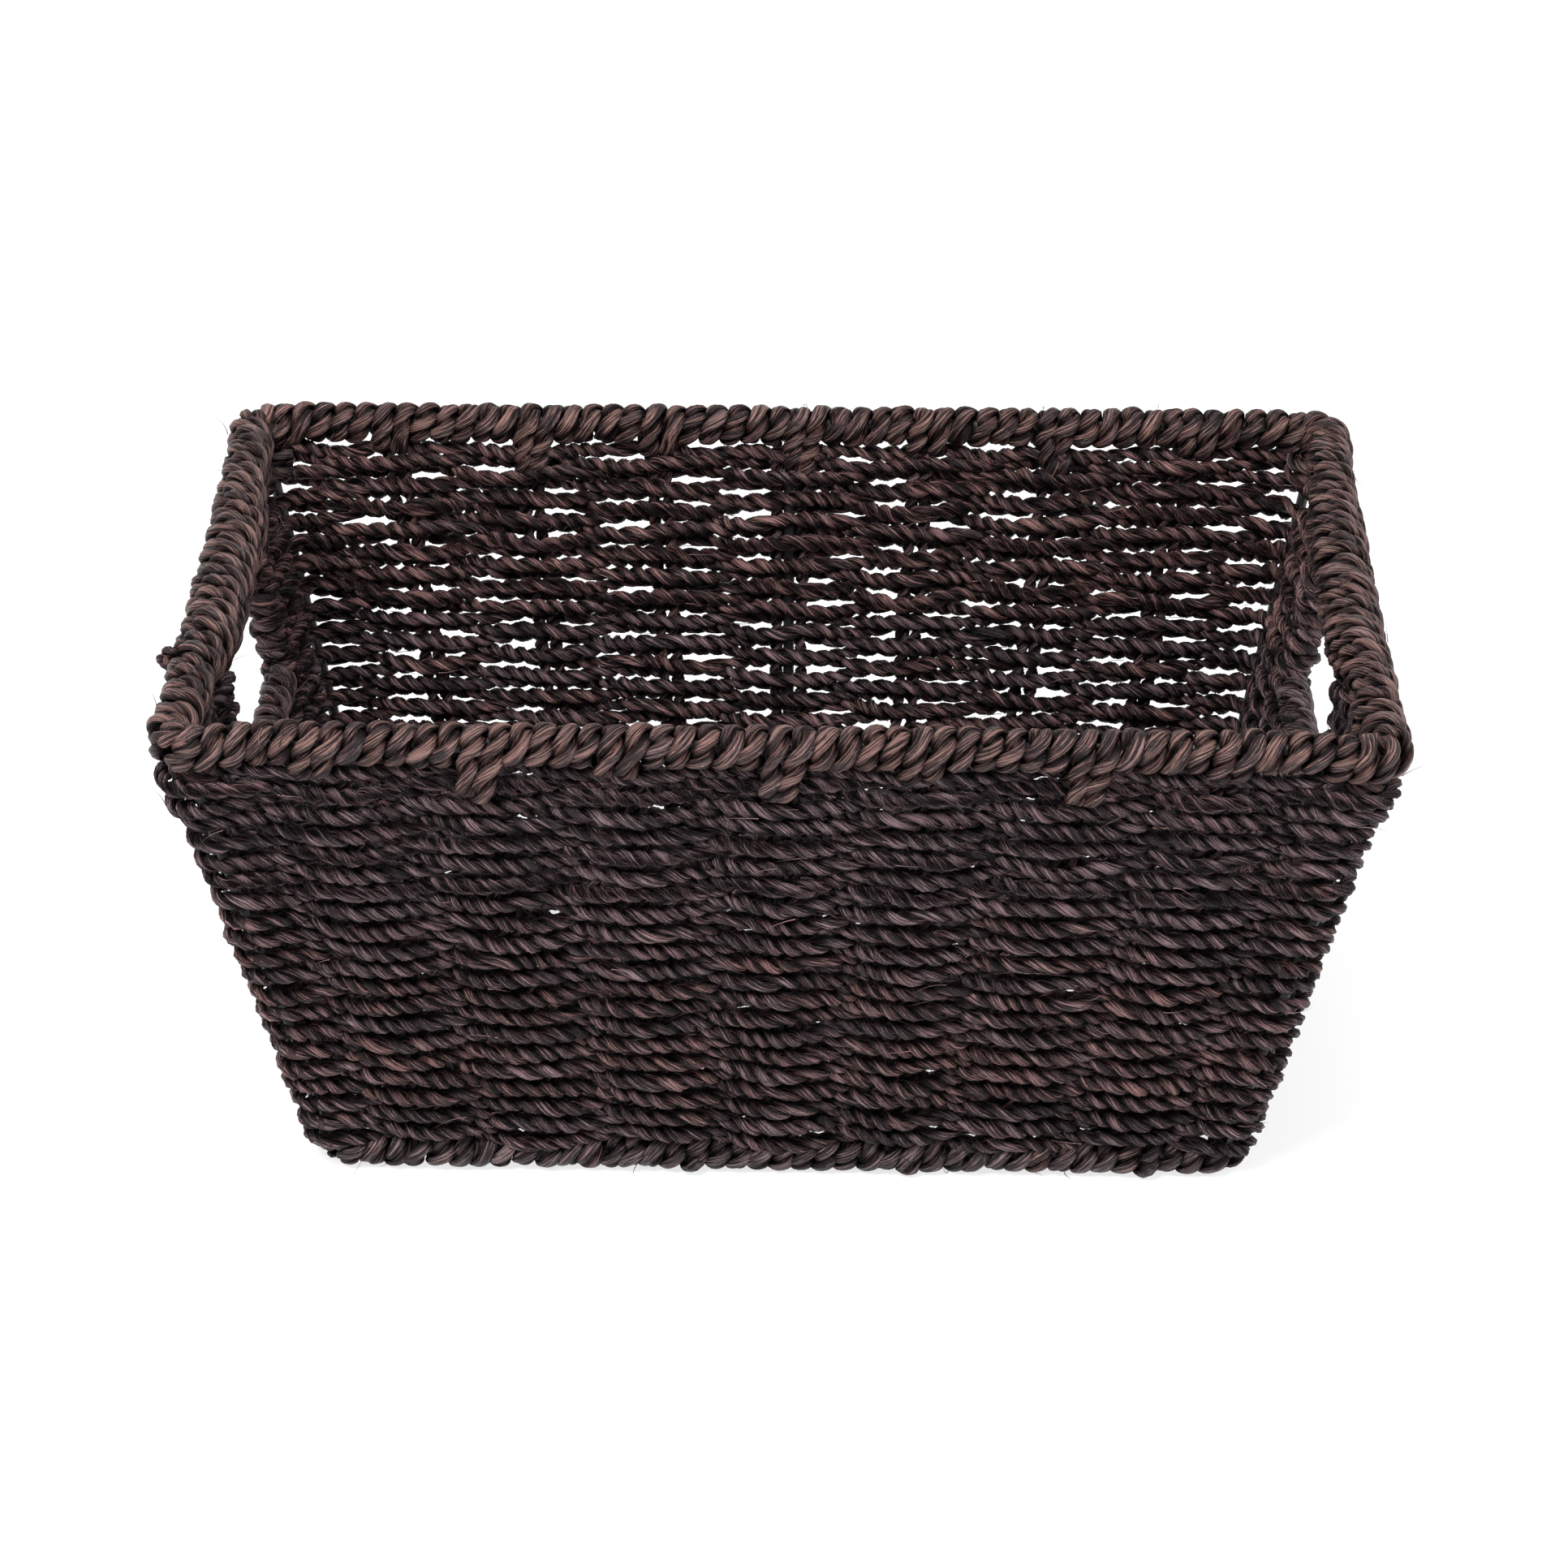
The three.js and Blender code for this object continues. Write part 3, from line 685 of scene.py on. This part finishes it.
def seagrass(name, dark, middle_colour, light, glint):
    """Dark stained leaf: streaks and split strips along the grain, with painted shade that makes it darker
    and duller in the hollows, and painted light on the crests.
    """
    material, tree, bsdf = shader(name)
    add, link = tree.nodes.new, tree.links.new

    def attribute(attribute_name):
        node = add("ShaderNodeAttribute")
        node.attribute_name = attribute_name
        return node.outputs["Vector"]

    grain = attribute("grain")
    split = add("ShaderNodeSeparateXYZ")
    link(attribute("tone"), split.inputs[0])
    # the third value of the tone attribute is the painted crest light
    tone, warmth, painted_crest_light = split.outputs

    def stretched(across, along):
        stretch = add("ShaderNodeVectorMath")
        stretch.operation = "MULTIPLY"
        stretch.inputs[1].default_value = (across, across, along)
        link(grain, stretch.inputs[0])
        return stretch.outputs[0]

    def streaks(across, along, detail):
        noise = add("ShaderNodeTexNoise")
        noise.inputs["Scale"].default_value = 1.0
        noise.inputs["Detail"].default_value = detail
        noise.inputs["Roughness"].default_value = 0.6
        link(stretched(across, along), noise.inputs["Vector"])
        return noise.outputs["Fac"]

    def strips(feature):
        cells = add("ShaderNodeTexVoronoi")
        cells.feature = feature
        cells.inputs["Scale"].default_value = 1.0
        link(stretched(1.0, 0.06), cells.inputs["Vector"])
        return cells

    def maths(operation, a, b):
        node = add("ShaderNodeMath")
        node.operation = operation
        for socket, value in zip(node.inputs, (a, b)):
            if isinstance(value, (int, float)):
                socket.default_value = value
            else:
                link(value, socket)
        return node.outputs[0]

    def scaled(value, gain, offset):
        return maths("ADD", maths("MULTIPLY", value, gain), offset)

    def multiplied(a, b, factor):
        """Colour a times colour b, as far as the factor says. b and the factor are a value or a socket."""
        mix = add("ShaderNodeMix")
        mix.data_type = "RGBA"
        mix.blend_type = "MULTIPLY"
        link(a, mix.inputs["A"])
        for socket_name, value in (("B", b), ("Factor", factor)):
            if isinstance(value, bpy.types.NodeSocket):
                link(value, mix.inputs[socket_name])
            else:
                mix.inputs[socket_name].default_value = value
        return mix.outputs["Result"]

    fine = streaks(3.2, 0.16, detail=2.0)
    strip_colour = add("ShaderNodeSeparateColor")
    link(strips("F1").outputs["Color"], strip_colour.inputs[0])
    seam = add("ShaderNodeMapRange")
    seam.inputs["From Max"].default_value = SEAM_WIDTH
    link(strips("DISTANCE_TO_EDGE").outputs["Distance"], seam.inputs["Value"])
    between_seams = seam.outputs["Result"]
    gains = (
        (streaks(1.1, 0.07, detail=1.0), 1.3),
        (fine, 4.4),
        (strip_colour.outputs[0], 0.7),
        (between_seams, 0.5),
        (streaks(0.05, 0.05, detail=2.0), 1.2),
        # painted light: the crests are pushed up the ramp, towards the light and glint colours
        (painted_crest_light, 0.35),
    )
    mixed = tone
    for value, gain in gains:
        mixed = maths("ADD", mixed, maths("MULTIPLY", maths("SUBTRACT", value, 0.5), gain))

    ramp = add("ShaderNodeValToRGB")
    stops = ramp.color_ramp.elements
    stops[0].position, stops[1].position = DARK_AT, LIGHT_AT
    stops[0].color, stops[1].color = (*dark, 1), (*light, 1)
    # painted highlight: the top of the ramp is a glint colour, reached on the brightest strands, most of all
    # on the crests
    stops.new(GLINT_AT).color = (*glint, 1)
    stops.new(MIDDLE_AT).color = (*middle_colour, 1)
    link(mixed, ramp.inputs["Fac"])
    tint = add("ShaderNodeValToRGB")
    tint.color_ramp.elements[0].color = (*COOL_TINT, 1)
    tint.color_ramp.elements[1].color = (*WARM_TINT, 1)
    link(warmth, tint.inputs["Fac"])
    colour = multiplied(ramp.outputs["Color"], tint.outputs["Color"], TINT_STRENGTH)
    # painted shade: the colour darkens towards the hollows, away from the crests
    colour = multiplied(colour, (*PAINTED_HOLLOW_SHADE, 1), maths("SUBTRACT", 1.0, painted_crest_light))
    link(colour, bsdf.inputs["Base Color"])
    link(scaled(fine, 0.5, 0.13), bsdf.inputs["Roughness"])
    # painted shade: the hollows also reflect less than the crests
    link(scaled(painted_crest_light, 0.42, 0.03), bsdf.inputs["Specular IOR Level"])
    bsdf.inputs["Specular Tint"].default_value = (*SPECULAR_TINT, 1)
    bsdf.inputs["Sheen Weight"].default_value = 0.01
    bsdf.inputs["Sheen Roughness"].default_value = 0.4
    relief = add("ShaderNodeBump")
    relief.inputs["Strength"].default_value = 1.0
    relief.inputs["Distance"].default_value = RELIEF * MM
    height = maths("ADD", maths("MULTIPLY", between_seams, 0.25), maths("MULTIPLY", fine, 0.5))
    link(height, relief.inputs["Height"])
    link(relief.outputs["Normal"], bsdf.inputs["Normal"])
    return material


weft_look = seagrass(
    "seagrass_weft", dark=(0.002, 0.0012, 0.0014), middle_colour=(0.0098, 0.0050, 0.0055),
    light=(0.066, 0.040, 0.041), glint=(0.235, 0.155, 0.155))
wrap_look = seagrass(
    "seagrass_wrap", dark=(0.003, 0.0018, 0.0020), middle_colour=(0.0115, 0.0063, 0.0067),
    light=(0.050, 0.031, 0.031), glint=(0.170, 0.115, 0.105))

steel, _, steel_bsdf = shader("dark_enamel")
steel_bsdf.inputs["Base Color"].default_value = (0.012, 0.010, 0.010, 1)
steel_bsdf.inputs["Metallic"].default_value = 0.0
steel_bsdf.inputs["Roughness"].default_value = 0.38
for node_name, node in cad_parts.items():
    if "rod" in node_name or "post" in node_name or "bar" in node_name:
        node.data.materials.clear()
        node.data.materials.append(steel)

# ---- build: rows of weft ----
WALL_NODES = ["weave_front", "weave_back", "weave_left", "weave_right"]
for side, half_turn in (("front", False), ("back", True)):
    rng = np.random.default_rng([11, half_turn])
    piece = Piece()
    add_snake(piece, rng, half_turn)
    for sign_x in (-1, 1):
        add_post_binding(piece, rng, sign_x, 1 if half_turn else -1)
    piece.make(f"weft_upper_{side}", weft_look, [f"weave_{side}", "weave_left", "weave_right"])
for first in range(ROWS_BESIDE_HOLE, ROWS, ROWS_PER_PIECE):
    rng = np.random.default_rng([12, first])
    piece = Piece()
    for k in range(first, first + ROWS_PER_PIECE):
        add_round(piece, rng, k)
    piece.make(f"weft_rows_{first:02d}_{first + ROWS_PER_PIECE - 1:02d}", weft_look, WALL_NODES)


# ---- build: stakes ----
def add_stake(piece, rng, shares, across, top, spread):
    """Two cords side by side up the wall, at shares of its half sizes."""
    z = np.arange(BASE[2] + STAKE_FOOT_GAP, top, STAKE_STEP)
    line = np.concatenate([half_sizes(z) * shares, z[:, None]], 1)
    flat = unit(np.cross(across, line[-1] - line[0]))
    for side in (-1, 1):
        shift = side * (spread + wander(rng, z, 50, 0.15))
        cord(piece, rng, line + shift[:, None] * across, np.tile(flat, (len(z), 1)), STAKE_RADIUS, STAKE_LAY,
             STAKE_SIDES, squash=((flat, STAKE_FLAT),), tone=STAKE_TONE)


for sign, side in ((-1, "front"), (1, "back")):
    rng = np.random.default_rng([13, sign + 1])
    piece = Piece()
    for share in STAKE_SHARES:
        # the middle stake's cords stand either side of the centre post
        spread = STAKE_RADIUS * SIDE_BY_SIDE + (POST_RADIUS if abs(share) < 0.01 else 0)
        add_stake(piece, rng, (share, sign), np.array([1.0, 0, 0]), RIM[2] - STAKE_END_GAP, spread)
    piece.make(f"stakes_{side}", weft_look, [f"stake_{side}_{i}" for i in STAKE_NUMBERS])
for sign, side in ((-1, "left"), (1, "right")):
    rng = np.random.default_rng([14, sign + 1])
    piece = Piece()
    for share in (-END_SHARE, 0.0, END_SHARE):
        top = (BAR_Z if share == 0 else RIM[2]) - STAKE_END_GAP
        add_stake(piece, rng, (sign, share), np.array([0, 1.0, 0]), top, STAKE_RADIUS * SIDE_BY_SIDE)
    piece.make(f"stakes_{side}", weft_look, [f"stake_{side}_{i}" for i in range(1, 4)])

# ---- build: rim winding ----
SIDES = ["front", "right", "back", "left"]
RIM_BEND = 7.5
RIM_OVAL = 5.0
PITCH_ALONG_SIDE, PITCH_ALONG_END, PITCH_LESS_AT_CORNER = 7.45, 8.0, 2.4
END_MORE_WIDE, END_MORE_TALL = 0.8, 0.4
GRIP_WIDE, GRIP_TALL = 7.9, 8.9
GRIP_INWARD, GRIP_DOWN = 2.9, 3.7
CORNER_SHIFT, CORNER_MORE_WIDE, CORNER_MORE_BELOW = 1.2, 0.6, 1.5
# distances from an end's middle: whole up to the first, none past the second
END_THICK, GRIP_THICK = (95, 112), (44, 76)
LONG_STITCH, SHORT_STITCH = (11.0, 3.2), (4.0, 0.8)  # how far a loop hangs, and how much it widens
RIM_OVERLAP = 6.0  # the winding's end passes its start
rim_total = perimeter_length(RIM[0], RIM[1], RIM_BEND)
rim_start = -RIM_BEND * math.pi / 2 / 2
rim_sides = side_ends(RIM, RIM_BEND)
rim_marks = rim_sides + rim_start


def rim_place(s):
    """Which side of the rim a length is on, how far it is from that side's middle, and half that side."""
    side = np.digitize(s, rim_marks) % 4
    starts = np.concatenate([[0], rim_sides[:3]])
    halves = np.array([RIM[i % 2] for i in range(4)])
    return side, s - starts[side] - (halves - RIM_BEND)[side], halves[side]


def rim_pitch(s):
    side, off, half = rim_place(s)
    pitch = np.where(side % 2 == 0, PITCH_ALONG_SIDE, PITCH_ALONG_END)
    return pitch - PITCH_LESS_AT_CORNER * smooth_step(np.abs(off), half - 12, half - 6)


def rim_section(s):
    """The winding is thicker along the ends, and thickest at the grips over the hand holes."""
    side, off, half = rim_place(s)
    at_end = (side % 2 == 1) * near(np.abs(off), *END_THICK)
    grip = (side % 2 == 1) * near(np.abs(off), *GRIP_THICK)
    corner = smooth_step(np.abs(off), half - 26, half - 10)
    wide = RIM_OVAL + END_MORE_WIDE * at_end + (GRIP_WIDE - RIM_OVAL - END_MORE_WIDE) * grip
    tall = RIM_OVAL + END_MORE_TALL * at_end + (GRIP_TALL - RIM_OVAL - END_MORE_TALL) * grip
    inward = END_MORE_WIDE * at_end + (GRIP_INWARD - END_MORE_WIDE) * grip - CORNER_SHIFT * corner
    down = END_MORE_TALL * at_end + (GRIP_DOWN - END_MORE_TALL) * grip + CORNER_SHIFT * corner
    return inward, down, wide + CORNER_MORE_WIDE * corner, tall, tall + CORNER_MORE_BELOW * corner


def rim_drops(rng, centres):
    """Two loops are pulled together over each stake. Those at every second stake of a long side hang low."""
    drop, widen, pull = np.zeros(len(centres)), np.zeros(len(centres)), np.zeros(len(centres))
    side, off, _ = rim_place(centres)
    for i in range(4):
        shares = STAKE_SHARES if i % 2 == 0 else [-END_SHARE, END_SHARE]
        for number, share in enumerate(shares):
            gap = np.where(side == i, off - share * RIM[i % 2], np.inf)
            long_one = i % 2 == 0 and number % 2 == 1
            for j in np.argsort(np.abs(gap))[:2]:
                drop[j], widen[j] = LONG_STITCH if long_one else SHORT_STITCH
                drop[j] += rng.normal(0, 0.6)
                pull[j] = -0.5 * gap[j] - 0.9 if long_one else -0.1 * gap[j] - 1.0
    return drop, widen, pull


def add_rim_knot(piece, rng):
    """Two short strands that cross on the outside of the left rim."""
    at = -63.0
    u = np.linspace(0, 1, 24)
    hump = np.sin(math.pi * u)
    x = -RIM[0] - 6.0 - 2.4 * hump
    along_rim = np.stack([x, at + 11 * (u - 0.5), RIM[2] + 1.5 - 5 * u], 1)
    down_rim = np.stack([x + 2.5 - 3.5 * hump, at - 3 + 3 * u, RIM[2] + 5 - 9 * u], 1)
    for line, radius in ((along_rim, 2.7), (down_rim, 2.6)):
        cord(piece, rng, line, np.tile([-1.0, 0, 0], (len(u), 1)), radius, STAKE_LAY, WRAP_SIDES, ridge=RIDGE,
             tone=WRAP_TONE, both_faces=False)


rng = np.random.default_rng(21)
points, radial, along = winding(
    ring_plan(*RIM, RIM_BEND), rim_start, rim_start + rim_total + RIM_OVERLAP, rim_pitch, rim_section,
    lambda centres: rim_drops(rng, centres), rng)
rim_extras = {f"rim_winding_{side}": Piece() for side in ("left", "front", "back")}
add_rim_knot(rim_extras["rim_winding_left"], rng)
for side, sign_y in (("front", -1), ("back", 1)):
    for sign_x in (-1, 1):
        add_corner_binding(rim_extras[f"rim_winding_{side}"], rng, sign_x, sign_y)
winding_cord(cut_marks(rim_marks[:3], along), rng, points, radial, [f"rim_winding_{s}" for s in SIDES],
             [f"rim_wrap_{s}" for s in SIDES], extras=rim_extras)

# ---- build: base winding ----
BASE_BEND = 10.0
BASE_PITCH = 7.3
BASE_OVAL, BASE_BELOW = 4.65, 3.7  # flatter where it stands on the floor
KNOTTED_LOOPS, KNOT_WIDENS = (17, 27, 38), 3.6
base_total = perimeter_length(BASE[0], BASE[1], BASE_BEND)
base_start = -BASE_BEND * math.pi / 2 / 2
base_marks = side_ends(BASE, BASE_BEND) + base_start


def base_drops(centres):
    """Three loops of the front border, which hold a knot on the basket, are widened so that they stand out;
    the knot itself is not drawn.
    """
    widen = np.zeros(len(centres))
    widen[list(KNOTTED_LOOPS)] = KNOT_WIDENS
    return 0 * widen, widen, 0 * widen


rng = np.random.default_rng(22)
points, radial, along = winding(
    ring_plan(*BASE, BASE_BEND), base_start, base_total + base_start, even(BASE_PITCH),
    oval(BASE_OVAL, BASE_OVAL, BASE_BELOW), base_drops, rng)
winding_cord(cut_marks(base_marks[:3], along), rng, points, radial, [f"base_winding_{s}" for s in SIDES],
             [f"base_wrap_{s}" for s in SIDES], tone=BORDER_TONE)

# ---- build: handle windings ----
HANDLE_PITCH = 7.2
HANDLE_OVAL = 3.85
HANDLE_OVERRUN = 3
for side, sign in (("left", -1), ("right", 1)):
    rng = np.random.default_rng([23, sign + 1])
    x, _, z = middle(f"handle_bar_{side}")
    lo, hi = box_mm(f"handle_wrap_{side}")
    points, radial, along = winding(
        bar_plan(x, z, sign), lo[1] - HANDLE_OVERRUN, hi[1] + HANDLE_OVERRUN, even(HANDLE_PITCH),
        oval(HANDLE_OVAL, HANDLE_OVAL, HANDLE_OVAL), no_drops, rng)
    winding_cord(cut_marks([], along), rng, points, radial, [f"handle_winding_{side}"],
                 [f"handle_wrap_{side}"])

# ---- build: base ----
BASE_STEP = 1.4
BASE_STAKE_RADIUS, BASE_STAKE_SPREAD, BASE_STAKE_FLAT = 2.5, 2.4, 0.8
BASE_ROW_RADIUS, BASE_ROW_LAY, BASE_ROW_FLAT = 2.35, 12.0, 0.92
BASE_ROW_PITCH, BASE_ROW_SWING = 4.5, 3.2
mat_lo, mat_hi = box_mm("base_mat")
rng = np.random.default_rng(31)
piece = Piece()
stake_x = np.array(STAKE_SHARES) * BASE[0]
y = np.arange(mat_lo[1] - 3, mat_hi[1] + 3, BASE_STEP)
for x in stake_x:
    for side in (-1, 1):
        beside = x + side * BASE_STAKE_SPREAD + wander(rng, y, 40, 0.15)
        line = np.stack([beside, y, np.full(len(y), BASE[2])], 1)
        cord(piece, rng, line, np.tile(UP, (len(y), 1)), BASE_STAKE_RADIUS, STAKE_LAY, STAKE_SIDES,
             squash=((UP, BASE_STAKE_FLAT),), tone=STAKE_TONE)
piece.make("base_stakes", weft_look, [f"base_stake_{i}" for i in STAKE_NUMBERS])

crossings = np.concatenate([[mat_lo[0] - 12], stake_x, [mat_hi[0] + 12]])
x = np.arange(mat_lo[0] - 2, mat_hi[0] + 2, BASE_STEP)
wave = np.cos(math.pi * np.interp(x, crossings, np.arange(len(crossings))))
base_rows = np.arange(mat_lo[1] + 2, mat_hi[1] - 1.5, BASE_ROW_PITCH)
half_count = math.ceil(len(base_rows) / 2)
for name, numbers in (("front", range(half_count)), ("back", range(half_count, len(base_rows)))):
    piece = Piece()
    for k in numbers:
        height = BASE[2] + BASE_ROW_SWING * (1 if k % 2 else -1) * wave
        line = np.stack([x, base_rows[k] + wander(rng, x, 60, 0.3), height], 1)
        cord(piece, rng, line, np.tile(UP, (len(x), 1)), BASE_ROW_RADIUS, BASE_ROW_LAY, STAKE_SIDES,
             squash=((UP, BASE_ROW_FLAT),))
    piece.make(f"base_rows_{name}", weft_look, ["base_mat"])

# ---- stage ----
FLOOR_REACH = 30.0
floor_mesh = bpy.data.meshes.new("floor")
floor_corners = [(x * FLOOR_REACH, y * FLOOR_REACH, 0) for x, y in ((-1, -1), (1, -1), (1, 1), (-1, 1))]
floor_mesh.from_pydata(floor_corners, [], [(0, 1, 2, 3)])
floor = bpy.data.objects.new("floor", floor_mesh)
bpy.context.scene.collection.objects.link(floor)
floor_look, _, floor_bsdf = shader("white_floor")
floor_bsdf.inputs["Base Color"].default_value = (0.3, 0.3, 0.3, 1)
floor_bsdf.inputs["Roughness"].default_value = 0.9
floor_bsdf.inputs["Emission Color"].default_value = (1, 1, 1, 1)
floor_bsdf.inputs["Emission Strength"].default_value = 0.75
floor_mesh.materials.append(floor_look)

# white at the horizon, grey overhead
world = bpy.data.worlds.new("studio")
world.use_nodes = True
sky = world.node_tree
where = sky.nodes.new("ShaderNodeTexCoord")
axes = sky.nodes.new("ShaderNodeSeparateXYZ")
dome = sky.nodes.new("ShaderNodeValToRGB")
dome.color_ramp.elements[0].position = 0.12
dome.color_ramp.elements[0].color = (1, 1, 1, 1)
dome.color_ramp.elements[1].position = 0.5
dome.color_ramp.elements[1].color = (0.4, 0.4, 0.41, 1)
sky.links.new(where.outputs["Generated"], axes.inputs[0])
sky.links.new(axes.outputs["Z"], dome.inputs["Fac"])
sky.links.new(dome.outputs["Color"], sky.nodes["Background"].inputs["Color"])
bpy.context.scene.world = world


def placed(x, y, z, origin):
    """The matrix that turns an object's own axes to x, y and z and stands it at the origin given."""
    return Matrix([[*row, p] for row, p in zip(np.stack([x, y, z], 1), origin)] + [[0, 0, 0, 1]])


def soft_light(name, location, width, power):
    """A square lamp aimed at the middle of the basket."""
    light = bpy.data.lights.new(name, "AREA")
    light.shape = "SQUARE"
    light.size = width
    light.energy = power
    lamp = bpy.data.objects.new(name, light)
    bpy.context.scene.collection.objects.link(lamp)
    z = unit(np.array(location) - np.array([0, 0, 0.1]))
    x = unit(np.cross(UP, z))
    lamp.matrix_world = placed(x, np.cross(z, x), z, location)


soft_light("key", (-0.6, -1.0, 1.5), 0.6, 37)
soft_light("fill", (1.1, -0.9, 1.2), 0.7, 12)
soft_light("top", (0.1, 0.3, 1.7), 0.9, 14)

# ---- camera ----
ELEVATION, YAW, ROLL = math.radians(29.3), math.radians(-0.895), math.radians(0.079)
EYE_FROM_RIM = np.array([22.6, -1444.7, 730.2])  # from the centre of the rim rod's ring, in millimetres
LENS, SENSOR = 109.79, 36.0
plan_reach = math.cos(ELEVATION)
forward = np.array([math.sin(YAW) * plan_reach, math.cos(YAW) * plan_reach, -math.sin(ELEVATION)])
level = np.array([math.cos(YAW), -math.sin(YAW), 0.0])
upward = np.cross(level, forward)
camera_x = level * math.cos(ROLL) + upward * math.sin(ROLL)
camera_y = -level * math.sin(ROLL) + upward * math.cos(ROLL)
camera_data = bpy.data.cameras.new("camera")
camera_data.lens = LENS
camera_data.sensor_width = SENSOR
camera_data.dof.use_dof = False
camera = bpy.data.objects.new("camera", camera_data)
bpy.context.scene.collection.objects.link(camera)
camera.matrix_world = placed(camera_x, camera_y, -forward, (EYE_FROM_RIM + RIM[2] * UP) * MM)
bpy.context.scene.camera = camera
bpy.context.scene.view_settings.view_transform = "Standard"
